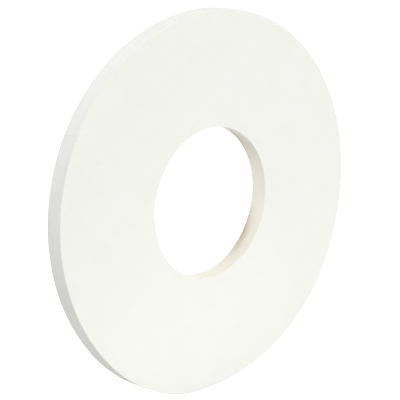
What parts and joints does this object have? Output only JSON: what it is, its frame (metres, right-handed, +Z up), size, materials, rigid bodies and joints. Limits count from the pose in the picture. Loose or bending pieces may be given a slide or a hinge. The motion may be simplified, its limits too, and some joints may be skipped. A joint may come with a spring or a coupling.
{
  "type": "felt polishing wheel",
  "caption": "Flat ring of dense ivory-white pressed wool felt with a large round centre bore, clamped on a spinning hub to polish stone, glass or metal.",
  "frame": {"origin": "on the bore's axis, midway between the two faces", "axes": "+Y along the bore's axis, out of the back face, so the working face looks along -Y; +Z up, with the wheel standing on its rim"},
  "size_m": [0.2, 0.01, 0.2],
  "materials": {
    "wool_felt": "matte"
  },
  "bodies": {
    "root": {"felt_wheel": "wool_felt"}
  },
  "joints": []
}
